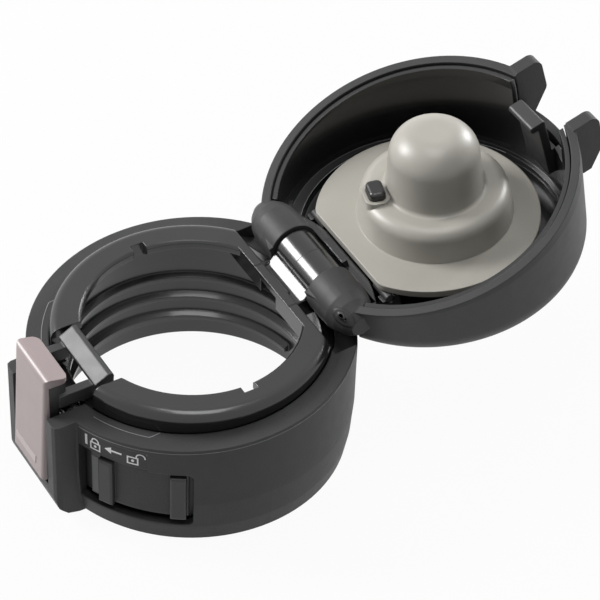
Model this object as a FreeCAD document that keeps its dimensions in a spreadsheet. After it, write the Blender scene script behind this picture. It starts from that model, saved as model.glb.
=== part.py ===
import FreeCAD, Part
import math
import os
import re

import Sketcher

# A one-touch flask lid, in millimetres. The collar's axis is Z and its foot lies at z = 0.
# The hinge lies at +Y along X, and the latch faces -Y.
# The lid's pieces are modelled shut, and then turned back about the hinge by open_angle.

DIMENSIONS = [
    ("collar_radius", 33.0, "outer radius of the collar and of the lid's rim"),
    ("collar_draft", 1.1, "how much the collar narrows to its foot"),
    ("collar_foot_radius", "collar_radius - collar_draft", "outer radius at the collar's foot"),
    ("collar_wall", 2.1, "wall of the collar's skin"),
    ("collar_hollow_radius", "collar_radius - collar_wall", "inside of the collar's skin"),
    ("collar_bulge_height", 11.0, "where the collar reaches its full radius"),
    ("collar_foot_chamfer", 0.5, "bevel of the foot"),
    ("deck_wall", 2.0, "thickness of the collar's top deck"),
    ("part_height", 26.7, "height of the parting plane over the axis"),
    ("part_angle", 2.86, "slope of the parting plane, higher at the hinge"),
    ("part_gap", 0.4, "gap between collar and shut lid"),
    ("seat_gap", 0.2, "clearance between moulded pieces that are pushed together"),
    ("run_gap", 0.06, "radial clearance of a pin in its bore"),
    ("ring_inset", 4.8, "how far the ring lies inside the collar's outside"),
    ("ring_radius", "collar_radius - ring_inset", "outer radius of the threaded ring"),
    ("ring_rise", 3.9, "how far the ring stands over the parting plane"),
    ("ring_top", "part_height + ring_rise", "top of the threaded ring"),
    ("ring_shoulder", 2.0, "rounding of the ring's outer top edge"),
    ("ring_wall", 2.4, "wall of the ring at the thread's root"),
    ("ring_root_radius", "ring_radius - ring_wall", "thread root in the bore"),
    ("thread_depth", 1.2, "depth of the neck thread"),
    ("ring_crest_radius", "ring_root_radius - thread_depth", "thread crest in the bore"),
    ("mouth_widening", 1.8, "how much wider the bore's mouth is"),
    ("ring_mouth_radius", "ring_root_radius + mouth_widening", "wide mouth at the bottom of the bore"),
    ("ring_mouth_height", 3.6, "height of that mouth"),
    ("ring_flange_base", 0.0, "underside of the ring's flange"),
    ("ring_flange_top", 3.0, "top of the ring's flange"),
    ("lip_reach", 3.95, "how far the lip reaches in over the neck"),
    ("lip_radius", "ring_root_radius - lip_reach", "inner radius of the drinking side lip"),
    ("lip_wall", 1.8, "thickness of the lip at its edge"),
    ("lip_cone", 2.6, "height of the cone under the lip"),
    ("lip_bevel", 0.5, "bevel of the lip's inner edge"),
    ("lip_chord_inset", 3.95, "how far the lip's straight edge lies inside its circle"),
    ("lip_chord", "lip_radius - lip_chord_inset", "distance of the lip's straight edge by the hinge"),
    ("notch_depth", 2.0, "depth of the two notches in the lip"),
    ("notch_width", 3.0, "width of the two notches in the lip"),
    ("thread_pitch", 5.4, "pitch of the neck thread"),
    ("hinge_inset", 1.0, "how far the hinge axis lies inside the ring's outside"),
    ("hinge_y", "ring_radius - hinge_inset", "hinge axis behind the collar's axis"),
    ("hinge_rise", 1.2, "how far the hinge axis lies over the ring"),
    ("hinge_z", "ring_top + hinge_rise", "height of the hinge axis"),
    ("barrel_radius", 4.47, "outer radius of the hinge barrel"),
    ("barrel_half", 6.7, "half length of the barrel"),
    ("knuckle_gap", 0.3, "gap between barrel and knuckle"),
    ("knuckle_radius", 5.2, "radius of the lid's knuckles"),
    ("knuckle_clearance", 0.6, "gap between a knuckle's end and the scoop's"),
    ("knuckle_end", "relief_half - knuckle_clearance", "outer end of a knuckle"),
    ("relief_radius", 7.4, "radius of the scoop that the knuckles swing in"),
    ("relief_half", 20.4, "half length of that scoop"),
    ("relief_wall", 1.8, "wall of the collar under the scoop"),
    ("hinge_pin_radius", 1.5, "radius of the hinge pin"),
    ("hinge_pin_half", 13.0, "half length of the hinge pin"),
    ("spring_bore_radius", 3.3, "bore of the barrel round its spring"),
    ("spring_bore_half", 5.4, "half length of that bore"),
    ("open_angle", 162.8, "how far the lid is thrown open"),
    ("rib_inner", 7.2, "inner side of the ribs beside the button"),
    ("rib_outer", 10.7, "outer side of those ribs"),
    ("rib_proud", 3.0, "how far the ribs stand out"),
    ("rib_front", "collar_radius + rib_proud", "front of those ribs"),
    ("slot_floor", 2.4, "bottom of the button's slot"),
    ("window_start", 70.6, "left end of the slider's window, in degrees right of +X and down"),
    ("window_end", 28.0, "right end of the slider's window"),
    ("window_low", 5.0, "bottom of the slider's window"),
    ("window_drop", 7.5, "how far the window's top lies under the parting plane"),
    ("window_high", "part_height - window_drop", "top of the slider's window"),
    ("label_start", 70.6, "left end of the label's recess"),
    ("label_end", 43.5, "right end of the label's recess"),
    ("label_gap", 0.0, "height of the label's foot over the window"),
    ("label_low", "window_high + label_gap", "bottom of the label's recess"),
    ("label_drop", 2.8, "how far the label's top lies under the parting plane"),
    ("label_high", "part_height - label_drop", "top of the label's recess"),
    ("label_depth", 0.35, "depth of the label's recess"),
    ("gap_half", 9.0, "half width of the ring's gap for the latch"),
    ("gap_depth", 7.0, "depth of the ring's gap under the hook"),
    ("gap_floor", "ring_top - gap_depth", "height of the ring's wall in that gap"),
    ("gap_back", 15.0, "how far in the gap reaches"),
    ("latch_inset", 1.8, "how far the latch pin lies inside the collar's outside"),
    ("latch_y", "collar_radius - latch_inset", "latch pin in front of the collar's axis"),
    ("latch_z", 5.6, "height of the latch pin"),
    ("latch_pin_radius", 1.0, "radius of the latch pin"),
    ("latch_pin_half", 9.6, "half length of the latch pin"),
    ("latch_foot_radius", 2.2, "radius of the lever's foot round its pin"),
    ("latch_foot_half", 4.9, "half width of that foot"),
    ("lever_half", 6.3, "half width of the lever's plate"),
    ("lever_proud", 1.6, "how far the lever's plate stands out"),
    ("lever_front", "collar_radius + lever_proud", "front of the lever's plate"),
    ("lever_wall", 2.0, "thickness of the lever's plate"),
    ("lever_back", "lever_front - lever_wall", "back of the lever's plate"),
    ("lever_rise", 1.4, "how far the lever's plate rises over the ring"),
    ("lever_top", "ring_top + lever_rise", "top of the lever's plate"),
    ("arm_inner", 5.0, "inner side of the lever's arms"),
    ("arm_outer", 6.9, "outer side of the lever's arms"),
    ("arm_drop", 0.5, "how far the arms hang under the parting plane"),
    ("arm_low", "part_height - arm_drop", "underside of the lever's arms"),
    ("arm_depth", 3.0, "height of the lever's arms"),
    ("arm_high", "arm_low + arm_depth", "top of the lever's arms"),
    ("bar_half", 7.8, "half length of the crossbar"),
    ("bar_width", 4.1, "width of the crossbar"),
    ("bar_inner", "bar_outer - bar_width", "inner side of the crossbar"),
    ("bar_inset", 0.3, "how far the crossbar lies inside the thread's root"),
    ("bar_outer", "ring_root_radius - bar_inset", "outer side of the crossbar"),
    ("bar_drop", 0.8, "how far the crossbar hangs under the parting plane"),
    ("bar_low", "part_height - bar_drop", "underside of the crossbar"),
    ("bar_edge_height", 3.9, "height of the crossbar's outer side"),
    ("bar_edge", "bar_low + bar_edge_height", "height of the crossbar's outer edge"),
    ("bar_lip", 0.8, "thickness of the crossbar's outer edge, which the hook catches under"),
    ("bar_web", 1.6, "thickness of the crossbar's inner wall"),
    ("bar_rise", 0.8, "how far the crossbar rises over the ring"),
    ("bar_high", "ring_top + bar_rise", "top of the crossbar"),
    ("button_gap", 0.5, "gap between button and rib"),
    ("button_half", "rib_inner - button_gap", "half width of the button"),
    ("button_low", 7.6, "bottom of the button"),
    ("button_rise", 3.9, "how far the button rises over the ring"),
    ("button_high", "ring_top + button_rise", "top of the button"),
    ("button_proud_low", 3.9, "how far the button stands out at its bottom"),
    ("button_front_low", "collar_radius + button_proud_low", "front of the button at its bottom"),
    ("button_proud_high", 2.5, "how far the button stands out at its top"),
    ("button_front_high", "collar_radius + button_proud_high", "front of the button at its top"),
    ("hood_reach", 2.1, "how far the button's hood reaches in"),
    ("hood_back", "lever_back - hood_reach", "rear edge of the button's hood"),
    ("spring_seat_z", 15.0, "height of the latch spring"),
    ("spring_radius", 2.2, "mean radius of the latch spring"),
    ("spring_wire", 0.5, "wire of the latch spring"),
    ("guide_gap_in", 0.55, "gap between ring and slider"),
    ("guide_inner", "ring_radius + guide_gap_in", "inner radius of the slider's guide plate"),
    ("guide_gap_out", 0.3, "gap between slider and collar skin"),
    ("guide_outer", "collar_hollow_radius - guide_gap_out", "outer radius of the slider's guide plate"),
    ("grip_inset", 1.1, "how far the grip plate lies in"),
    ("grip_radius", "collar_radius - grip_inset", "outer radius of the slider's grip plate"),
    ("grip_proud", 0.3, "how far the grip ribs stand out"),
    ("grip_rib_radius", "collar_radius + grip_proud", "outer radius of the slider's ribs"),
    ("slider_gap_left", 4.2, "gap left of the slider, in degrees"),
    ("slider_start", "window_start - slider_gap_left", "left end of the slider's grip plate"),
    ("slider_end", 29.6, "right end of the slider's grip plate"),
    ("slider_margin", 7.0, "how far the guide plate runs on, in degrees"),
    ("slider_drop", 1.9, "how far the grip plate lies over the window's sill"),
    ("slider_low", "window_low + slider_drop", "bottom of the grip plate"),
    ("slider_play", 0.3, "gap between slider and window, above"),
    ("slider_high", "window_high - slider_play", "top of the grip plate"),
    ("rib_start_a", 62.0, "left side of the first grip rib"),
    ("rib_start_b", 36.0, "left side of the second grip rib"),
    ("rib_span", 5.6, "width of a grip rib, in degrees"),
    ("lid_height", 21.3, "height of the lid over the parting plane"),
    ("lid_top", "part_height + lid_height", "height of the lid's top over the axis"),
    ("lid_slope", 11.3, "slope of the lid's top, higher at the latch"),
    ("lid_taper", 1.9, "how much the lid's wall tapers"),
    ("lid_top_radius", "collar_radius - lid_taper", "radius that the lid's wall tapers to"),
    ("lid_round", 7.7, "rounding of the lid's top edge"),
    ("lid_wall", 1.8, "wall of the lid"),
    ("liner_gap", 0.3, "clearance between lid and liner"),
    ("liner_wall", 1.0, "wall of the liner"),
    ("liner_drop", 0.5, "how far the liner's edge lies inside the rim"),
    ("tab_half", 3.7, "half length of the tab between barrel and plug"),
    ("floor_depth", 5.0, "how far the liner's floor lies under the lid's top"),
    ("floor_height", "lid_top - floor_depth", "height of the liner's floor over the axis"),
    ("floor_slope", 13.5, "slope of the liner's floor"),
    ("floor_inset", 4.5, "how far the floor's step lies in"),
    ("floor_radius", "lid_top_radius - floor_inset", "radius of the floor inside its step"),
    ("floor_step", 1.8, "height of that step"),
    ("collar_clearance", 0.5, "how far the open lid stays off the collar"),
    ("ear_inner", 8.9, "inner side of the lid's ears"),
    ("ear_outer", 11.8, "outer side of the lid's ears"),
    ("ear_proud", 3.4, "how far the ears stand out"),
    ("ear_front", "collar_radius + ear_proud", "front of the lid's ears"),
    ("ear_height", 6.8, "where the ears start to run back, over the parting plane"),
    ("ear_high", "part_height + ear_height", "where the ears start to run back"),
    ("ear_run", 5.0, "height over which the ears run back"),
    ("ear_top", "ear_high + ear_run", "where the ears meet the wall"),
    ("hood_notch_half", "ear_inner", "half width of the lid's notch for the hood"),
    ("hood_notch_height", 8.9, "height of the lid's notch for the hood"),
    ("hood_notch_top", "part_height + hood_notch_height", "top of that notch"),
    ("hook_half", 4.1, "half length of the hook"),
    ("hook_wall", 1.8, "thickness of the hook's post"),
    ("hook_back", "hook_front + hook_wall", "outer face of the hook's post"),
    ("hook_gap", 0.9, "gap between hook and crossbar"),
    ("hook_front", "bar_outer + hook_gap", "inner face of the hook's post"),
    ("hook_grip", 0.8, "how far the nose reaches under the crossbar"),
    ("hook_nose", "bar_outer - hook_grip", "how far in the hook's nose reaches"),
    ("nose_height", 1.6, "height of the hook's nose"),
    ("hook_low", "hook_high - nose_height", "bottom of the hook's nose"),
    ("hook_play", 0.4, "play between nose and crossbar"),
    ("hook_high", "bar_edge - bar_lip - hook_play", "top of the hook's nose"),
    ("hook_root_depth", 5.5, "how far under the lid's top the post ends"),
    ("hook_root", "lid_top - hook_root_depth", "where the hook's post ends in the liner"),
    ("flange_drop", 6.2, "how far the plug's flange hangs under the floor"),
    ("flange_height", "floor_height - flange_drop", "height of the plug's flange over the axis"),
    ("plug_tilt", 12.5, "how far the plug lies back"),
    ("flange_lap", 1.15, "how far the flange laps the lip"),
    ("flange_radius", "lip_radius + flange_lap", "radius of the plug's flange"),
    ("flange_tail", 0.8, "how far the flange runs past its pivot"),
    ("flange_chord", "stud_y + flange_tail", "distance of the flange's straight edge"),
    ("flange_wall", 1.5, "thickness of the flange"),
    ("dome_clearance", 5.75, "how far the lower dome stays inside the lip"),
    ("dome_base_radius", "lip_radius - dome_clearance", "radius of the lower dome at the flange"),
    ("dome_taper", 1.1, "how much the lower dome tapers"),
    ("dome_side_radius", "dome_base_radius - dome_taper", "radius of the lower dome at its shoulder"),
    ("dome_height", 7.2, "height of the lower dome"),
    ("dome_offset", 1.7, "how far the dome's axis lies from the flange's, away from the hinge"),
    ("dome_round", 2.8, "rounding of the lower dome's shoulder"),
    ("shoulder_width", 4.9, "width of the shoulder round the upper dome"),
    ("cap_base_radius", "dome_side_radius - shoulder_width", "radius of the upper dome at its foot"),
    ("cap_taper", 1.4, "how much the upper dome tapers"),
    ("cap_radius", "cap_base_radius - cap_taper", "radius of the upper dome under its crown"),
    ("plug_height", 21.3, "height of the plug over its flange"),
    ("cap_round", "0.72 * cap_radius", "rounding of the upper dome's crown"),
    ("seal_wall", 1.6, "wall of the silicone"),
    ("core_wall", 1.4, "wall of the rigid core"),
    ("core_gap", 0.05, "clearance between silicone and core"),
    ("core_plate", 1.8, "thickness of the core's plate"),
    ("core_plate_inset", 2.4, "how far the core's plate lies inside the flange"),
    ("core_plate_radius", "flange_radius - core_plate_inset", "radius of the core's plate"),
    ("core_chord_inset", 1.4, "how far the core plate's straight edge lies inside the pivot"),
    ("core_chord", "stud_y - core_chord_inset", "distance of the core plate's straight edge"),
    ("stud_inset", 8.8, "how far the plug pivot lies in front of the hinge"),
    ("stud_y", "hinge_y - stud_inset", "plug pivot behind the collar's axis, lid shut"),
    ("stud_drop", 1.4, "how far the plug pivot lies under the flange"),
    ("stud_z", "flange_height - stud_drop", "height of the plug pivot, lid shut"),
    ("stud_radius", 0.9, "radius of the plug's pivot studs"),
    ("stud_half", 14.8, "half length over the studs"),
    ("stud_arm_wall", 2.9, "thickness of the arms that carry the studs"),
    ("stud_arm_inner", "stud_arm_outer - stud_arm_wall", "inner side of the arms that carry the studs"),
    ("stud_reach", 2.1, "how far a stud stands out of its arm"),
    ("stud_arm_outer", "stud_half - stud_reach", "outer side of those arms"),
    ("clip_wall", 1.2, "wall of the clip round a stud"),
    ("vent_angle", 105.0, "place of the vent on the shoulder, from +X towards +Y"),
    ("vent_reach", "cap_base_radius + vent_inset", "distance of the vent from the dome's axis"),
    ("vent_inset", 2.3, "distance of the vent from the upper dome's foot"),
    ("vent_long", 4.8, "length of the vent plug"),
    ("vent_wide", 3.4, "width of the vent plug"),
    ("vent_proud", 2.5, "how far the vent plug stands out"),
    ("vent_round", 1.1, "corner radius of the vent plug"),
    ("thread_base", 2.6, "width of the thread's ridge at its root"),
    ("thread_crest", 0.9, "width of the thread's ridge at its crest"),
    ("thread_low", 6.2, "start height of the neck thread"),
    ("thread_rise", 15.4, "height that the neck thread climbs"),
    ("thread_sink", 0.3, "how far the ridge is sunk into the ring's wall"),
    ("gap_shelf", 5.5, "depth of the ring's gap beside the hook"),
    ("gap_shelf_half", 5.3, "half width of the deeper part of that gap"),
    ("window_round", 1.2, "rounding of the window's corners"),
    ("rib_round", 1.2, "rounding of the ribs' front corners"),
    ("block_round", 5.0, "rounding of the front block at its foot"),
    ("apron_top", 7.0, "top of the wall under the button"),
    ("apron_wall", 1.2, "thickness of that wall"),
    ("ear_round", 2.0, "rounding of the ears' corners"),
    ("button_round", 1.2, "rounding of the button's front edges"),
    ("hood_round", 1.6, "rounding of the hood's rear corners"),
    ("hook_round", 0.7, "rounding of the hook's nose"),
    ("slider_round", 0.5, "rounding of the grip ribs"),
    ("knuckle_flat", 4.3, "how far a knuckle keeps its full radius"),
    ("flange_corner", 3.0, "rounding of the flange's corners"),
    ("cap_foot_round", 0.9, "rounding between the upper dome and the shoulder"),
    ("vent_lip", 0.9, "width of the lip round the vent plug"),
    ("vent_lip_height", 0.7, "height of that lip over the shoulder"),
    ("vent_edge", 0.8, "rounding of the vent plug's top"),
    ("spring_coil_wire", 0.35, "wire radius of the hinge spring"),
    ("spring_turns", 6, "turns of the hinge spring"),
    ("latch_spring_turns", 4, "turns of the latch spring"),
    ("spring_end_gap", 0.2, "gap at each end of the hinge spring"),
    ("cut_over", 10.0, "how far a cut runs past what it cuts"),
    ("over", 1.0, "how far a small cut runs past a face"),
    ("window_under", 0.8, "how far the window's cut reaches under the skin"),
    ("slot_back", "0.9 * ring_radius", "how far in the button's slot reaches"),
    ("mouth_cone", 1.5, "height of the cone over the bore's mouth"),
    ("chord_lap", 0.5, "how far the lip's straight block is sunk into the wall"),
    ("web_drop", 0.8, "how far the hinge web starts under the ring's top"),
    ("web_run", 3.2, "depth of the web's flat front"),
    ("web_lap", 0.3, "how far the web is sunk into the barrel"),
    ("web_rise", 0.4, "how far the web's rear stands over its neighbours"),
    ("pocket_left", 4.0, "left side of the pocket in the web"),
    ("pocket_right", 2.0, "right side of that pocket"),
    ("pocket_wide", 1.6, "depth of that pocket behind the lip's straight edge"),
    ("pocket_drop", 1.4, "top of that pocket under the ring's top"),
    ("thread_angle", 100.0, "where the thread's ridge starts, from +X towards +Y"),
    ("lid_foot", 2.0, "height of the straight foot of the lid's wall"),
    ("saddle_rise", 1.8, "how far over the parting plane the lid makes way for the collar"),
    ("liner_taper", 0.4, "how much more the liner's inside tapers than the lid"),
    ("ear_root", 2.6, "how far the ears reach into the lid's wall"),
    ("ear_tuck", 0.6, "how far in the top of the ears meets the wall"),
    ("slot_gap", 0.6, "clearance round the barrel and the knuckles"),
    ("slot_gap_high", 0.4, "clearance over the knuckles"),
    ("notch_back", "0.8 * collar_radius", "how far in the notch for the hood reaches"),
    ("tab_shift", 0.3, "how far the tab lies off the middle"),
    ("tab_gap", 0.2, "gap between the tab and a knuckle's radius"),
    ("tab_wall", 1.2, "thickness of the tab"),
    ("tab_height", 2.4, "height of the tab"),
    ("boss_lap", 0.5, "how far the liner's boss is sunk into its floor"),
    ("hook_foot", 1.1, "how far the hook's foot reaches out"),
    ("foot_gap", 0.4, "gap between the hook's foot and the notch for the hood"),
    ("plate_rise", 3.4, "height of the lever plate's foot over the latch pin"),
    ("hood_gap", 0.6, "gap between the lever and the rear of the button's hood"),
    ("hood_depth", 2.4, "height of the lever's head under the hood"),
    ("hood_slope", 1.0, "height over which that head runs out"),
    ("shank_rise", 4.0, "height of the lever's shank over the latch pin"),
    ("shank_foot", 1.4, "where the shank meets its foot, over the latch pin"),
    ("arm_lap", 0.2, "how far the arms start behind the lever's plate"),
    ("bar_bevel", 0.6, "bevel of the crossbar's inner edge"),
    ("bar_ridge", 0.5, "how far the crossbar's ridge lies behind its inner side"),
    ("bar_ridge_width", 0.7, "width of the crossbar's ridge"),
    ("hood_wall", 1.3, "thickness of the button's hood at its rear"),
    ("button_bevel", 0.4, "bevel of the button's foot"),
    ("spring_slack", 0.3, "how much shorter the latch spring is than its gap"),
    ("spring_gap", 0.35, "gap between ring and latch spring"),
    ("guide_drop", 1.2, "how far the guide plate hangs under the grip plate"),
    ("guide_rise", 1.0, "how far the guide plate stands over the grip plate"),
    ("grip_lap", 0.5, "how far the grip plate is sunk into the guide plate"),
    ("rib_drop", 0.6, "how far the grip ribs lie under the grip plate's top"),
    ("vent_bore_depth", 8.0, "depth of the vent's hole through seal and core"),
    ("vent_sunk", 0.5, "how far the vent plug reaches under the silicone"),
    ("core_void_gap", 1.0, "how much thicker the core is than its wall round its bends"),
    ("stud_web", 0.4, "how far the stud's arm reaches behind its stud"),
    ("clip_lap", 0.3, "how far the clip's ears run past the studs"),
    ("clip_gap", 0.4, "gap between a clip's ear and a stud's arm"),
    ("clip_play", 0.1, "gap between the clip and the liner's floor"),
]

FUNCTIONS = {"sin", "cos", "tan", "sqrt"}
ORIGIN = -1
START = 1
END = 2
BIG = 120.0

doc = FreeCAD.newDocument("FlaskLid")
dims = doc.addObject("Spreadsheet::Sheet", "Dims")
for row, (alias, number, note) in enumerate(DIMENSIONS, start=1):
    dims.set("A%d" % row, alias)
    dims.set("C%d" % row, note)
    dims.setAlias("B%d" % row, alias)
for row, (alias, number, note) in enumerate(DIMENSIONS, start=1):
    dims.set("B%d" % row, "=" + number if isinstance(number, str) else str(number))
doc.recompute()
SIZE = {alias: float(dims.get(alias)) for alias, number, note in DIMENSIONS}
parts = {}


def bound(text):
    """The expression with every size name pointing at the sheet."""
    def cell(match):
        word = match.group()
        return word if word in FUNCTIONS else "Dims." + word
    return re.sub(r"[a-z][a-z_]+", cell, text)


def bind(thing, prop, text):
    thing.setExpression(prop, bound(text))


def plane_of(body, role):
    return next(f for f in body.Origin.OriginFeatures if f.Role == role)


def outline(body, name, role, points, offset=None):
    """A closed polygon sketch whose corners are bound to the sheet."""
    sketch = body.newObject("Sketcher::SketchObject", name)
    sketch.AttachmentSupport = [(plane_of(body, role), "")]
    sketch.MapMode = "FlatFace"
    count = len(points)
    ring = [FreeCAD.Vector(10 * math.cos(2 * math.pi * k / count), 10 * math.sin(2 * math.pi * k / count), 0)
            for k in range(count)]
    for k in range(count):
        sketch.addGeometry(Part.LineSegment(ring[k], ring[(k + 1) % count]), False)
    for k in range(count):
        sketch.addConstraint(Sketcher.Constraint("Coincident", k, END, (k + 1) % count, START))
    for k, (across, up) in enumerate(points):
        for kind, text, now in (("DistanceX", across, ring[k].x), ("DistanceY", up, ring[k].y)):
            place = sketch.addConstraint(Sketcher.Constraint(kind, ORIGIN, START, k, START, now))
            bind(sketch, "Constraints[%d]" % place, text)
    if offset:
        bind(sketch, "AttachmentOffset.Base.z", offset)
    return sketch


def turned(name, points):
    """A body turned about Z from corners given as radius and height."""
    body = doc.addObject("PartDesign::Body", name)
    sketch = outline(body, name + "_profile", "XZ_Plane", points)
    turn = body.newObject("PartDesign::Revolution", name + "_turn")
    turn.Profile = sketch
    turn.ReferenceAxis = (sketch, ["V_Axis"])
    turn.Angle = 360.0
    sketch.Visibility = False
    return body


def prism(name, role, points, start, length):
    """A body padded from a polygon, from start over length along the plane's normal."""
    body = doc.addObject("PartDesign::Body", name)
    sketch = outline(body, name + "_profile", role, points, start)
    pad = body.newObject("PartDesign::Pad", name + "_pad")
    pad.Profile = sketch
    bind(pad, "Length", length)
    return body


def slab(name, points, half):
    """A prism across X, given by Y and Z corners and its half width."""
    return prism(name, "YZ_Plane", points, "-(%s)" % half, "2 * (%s)" % half)


def span(name, points, start, end):
    """A prism across X between two places, given by Y and Z corners."""
    return prism(name, "YZ_Plane", points, start, "(%s) - (%s)" % (end, start))


def block(name, low, high):
    """A box from its low to its high corner."""
    box = doc.addObject("Part::Box", name)
    for axis, side, near, far in zip("xyz", ("Length", "Width", "Height"), low, high):
        bind(box, "Placement.Base." + axis, near)
        bind(box, side, "(%s) - (%s)" % (far, near))
    return box


def disc(name, radius, low, high):
    """An upright cylinder on the axis."""
    solid = doc.addObject("Part::Cylinder", name)
    bind(solid, "Radius", radius)
    bind(solid, "Placement.Base.z", low)
    bind(solid, "Height", "(%s) - (%s)" % (high, low))
    return solid


def rod(name, radius, start, end, y, z):
    """A cylinder along X."""
    solid = doc.addObject("Part::Cylinder", name)
    solid.Placement = FreeCAD.Placement(FreeCAD.Vector(), FreeCAD.Rotation(FreeCAD.Vector(0, 1, 0), 90))
    bind(solid, "Radius", radius)
    bind(solid, "Height", "(%s) - (%s)" % (end, start))
    bind(solid, "Placement.Base.x", start)
    bind(solid, "Placement.Base.y", y)
    bind(solid, "Placement.Base.z", z)
    return solid


def wedge(name, inner, outer, low, high, start, end):
    """A stretch of a ring between two angles, which are given clockwise from +X, seen from above."""
    solid = doc.addObject("Part::Cylinder", name + "_outer")
    core = doc.addObject("Part::Cylinder", name + "_core")
    for cylinder, radius in ((solid, outer), (core, inner)):
        cylinder.Placement = FreeCAD.Placement(FreeCAD.Vector(), FreeCAD.Rotation(FreeCAD.Vector(0, 0, 1), -90))
        bind(cylinder, "Radius", radius)
        bind(cylinder, "Placement.Base.z", low)
        bind(cylinder, "Placement.Rotation.Angle", "-(%s)" % start)
        bind(cylinder, "Height", "(%s) - (%s)" % (high, low))
        bind(cylinder, "Angle", "(%s) - (%s)" % (start, end))
        cylinder.Placement.Rotation.Axis = FreeCAD.Vector(0, 0, 1)
    return cut(name, solid, core)


def fuse(name, *shapes):
    joined = doc.addObject("Part::MultiFuse", name)
    joined.Shapes = list(shapes)
    joined.Refine = True
    return joined


def cut(name, base, *tools):
    taken = doc.addObject("Part::Cut", name)
    taken.Base = base
    taken.Tool = tools[0] if len(tools) == 1 else fuse(name + "_tools", *tools)
    taken.Refine = True
    return taken


def common(name, first, second):
    both = doc.addObject("Part::Common", name)
    both.Base = first
    both.Tool = second
    both.Refine = True
    return both


def rounded_by(name, base, radius_of):
    """Rounds each edge of base for which radius_of(edge) gives a radius."""
    doc.recompute()
    round_edges = doc.addObject("Part::Fillet", name)
    round_edges.Base = base
    picked = [(k, radius_of(edge)) for k, edge in enumerate(base.Shape.Edges, start=1)]
    round_edges.Edges = [(k, radius, radius) for k, radius in picked if radius]
    return round_edges


def rounded(name, base, radius, wanted):
    """Rounds the edges of base for which wanted(edge) is true."""
    return rounded_by(name, base, lambda edge: radius if wanted(edge) else None)


def put(thing, y="0", z="0", turn="0"):
    """Places a piece of the lid: its own origin lies at y and z in the shut lid, and the lid is open."""
    thing.Placement = FreeCAD.Placement(FreeCAD.Vector(), FreeCAD.Rotation(FreeCAD.Vector(1, 0, 0), -90))
    behind = "((%s) - hinge_y)" % y
    above = "((%s) - hinge_z)" % z
    bind(thing, "Placement.Rotation.Angle", "(%s) - open_angle" % turn)
    bind(thing, "Placement.Base.y", "hinge_y + %s * cos(open_angle) + %s * sin(open_angle)" % (behind, above))
    bind(thing, "Placement.Base.z", "hinge_z - %s * sin(open_angle) + %s * cos(open_angle)" % (behind, above))
    return thing


def keep(node, thing):
    thing.Label = node
    parts[node] = thing


def above(name, height, angle):
    """Everything over a plane across X, which has a height at the axis and rises towards +Y by an angle."""
    rise = "%s * tan(%s)" % (BIG, angle)
    points = [("-%s" % BIG, "(%s) - %s" % (height, rise)), ("%s" % BIG, "(%s) + %s" % (height, rise)),
              ("%s" % BIG, "%s * 2" % BIG), ("-%s" % BIG, "%s * 2" % BIG)]
    return slab(name, points, str(BIG))


def make_collar():
    drum = turned("collar_drum", [
        ("0", "0"), ("collar_foot_radius - collar_foot_chamfer", "0"), ("collar_foot_radius", "collar_foot_chamfer"),
        ("collar_foot_radius + 0.6 * collar_draft", "0.4 * collar_bulge_height"),
        ("collar_radius", "collar_bulge_height"), ("collar_radius", "part_height + cut_over"),
        ("0", "part_height + cut_over")])
    outer = cut("collar_outer", drum, above("collar_over", "part_height", "part_angle"))
    plan = prism("collar_front_plan", "XY_Plane", [
        ("-rib_outer", "-rib_front + rib_round"), ("-rib_outer + 0.3 * rib_round", "-rib_front + 0.3 * rib_round"),
        ("-rib_outer + rib_round", "-rib_front"),
        ("rib_outer - rib_round", "-rib_front"), ("rib_outer - 0.3 * rib_round", "-rib_front + 0.3 * rib_round"),
        ("rib_outer", "-rib_front + rib_round"), ("rib_outer", "-gap_back"), ("-rib_outer", "-gap_back")],
        "0", "part_height + cut_over")
    side = slab("collar_front_side", [
        ("-rib_front + block_round", "0"), ("-rib_front + 0.5 * block_round", "0.134 * block_round"),
        ("-rib_front + 0.134 * block_round", "0.5 * block_round"), ("-rib_front", "block_round"),
        ("-rib_front", "part_height - rib_front * tan(part_angle)"),
        ("-gap_back", "part_height - gap_back * tan(part_angle)"), ("-gap_back", "0")], "rib_outer + over")
    saddle = rod("collar_saddle", "relief_radius + relief_wall", "-relief_half - relief_wall",
                 "relief_half + relief_wall", "hinge_y", "hinge_z")
    hollow = cut("collar_hollow", disc("collar_inside", "collar_hollow_radius", "-over", "part_height + cut_over"),
                 above("collar_deck", "part_height - deck_wall", "part_angle"), saddle)
    bore = disc("collar_bore", "ring_radius + seat_gap", "-over", "part_height + 2 * cut_over")
    slot = block("collar_slot", ("-rib_inner", "-rib_front - over", "slot_floor"),
                 ("rib_inner", "-slot_back", "part_height + cut_over"))
    apron = block("collar_apron", ("-rib_inner", "-rib_front - 2 * over", "slot_floor - over"),
                  ("rib_inner", "-rib_front + apron_wall", "apron_top"))
    scoop = rod("collar_scoop", "relief_radius", "-relief_half", "relief_half", "hinge_y", "hinge_z")
    window = rounded("collar_window", wedge("collar_window_raw", "collar_hollow_radius - window_under",
                                            "collar_radius + 2 * over",
                                            "window_low", "window_high", "window_start", "window_end"),
                     SIZE["window_round"],
                     lambda edge: edge.BoundBox.ZLength < 0.1 and isinstance(edge.Curve, Part.Line)
                     and edge.BoundBox.XMax > SIZE["collar_radius"] / 2)
    label = wedge("collar_label", "collar_radius - label_depth", "collar_radius + 2 * over",
                  "label_low", "label_high",
                  "label_start", "label_end")
    pin_bore = rod("collar_pin_bore", "latch_pin_radius + run_gap", "-latch_pin_half - run_gap",
                   "latch_pin_half + run_gap", "-latch_y", "latch_z")
    mass = fuse("collar_mass", outer, common("collar_front", plan, side))
    keep("collar_shell", cut("collar", mass, hollow, bore, cut("collar_slot_open", slot, apron), scoop, window, label,
                             pin_bore))


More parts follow.
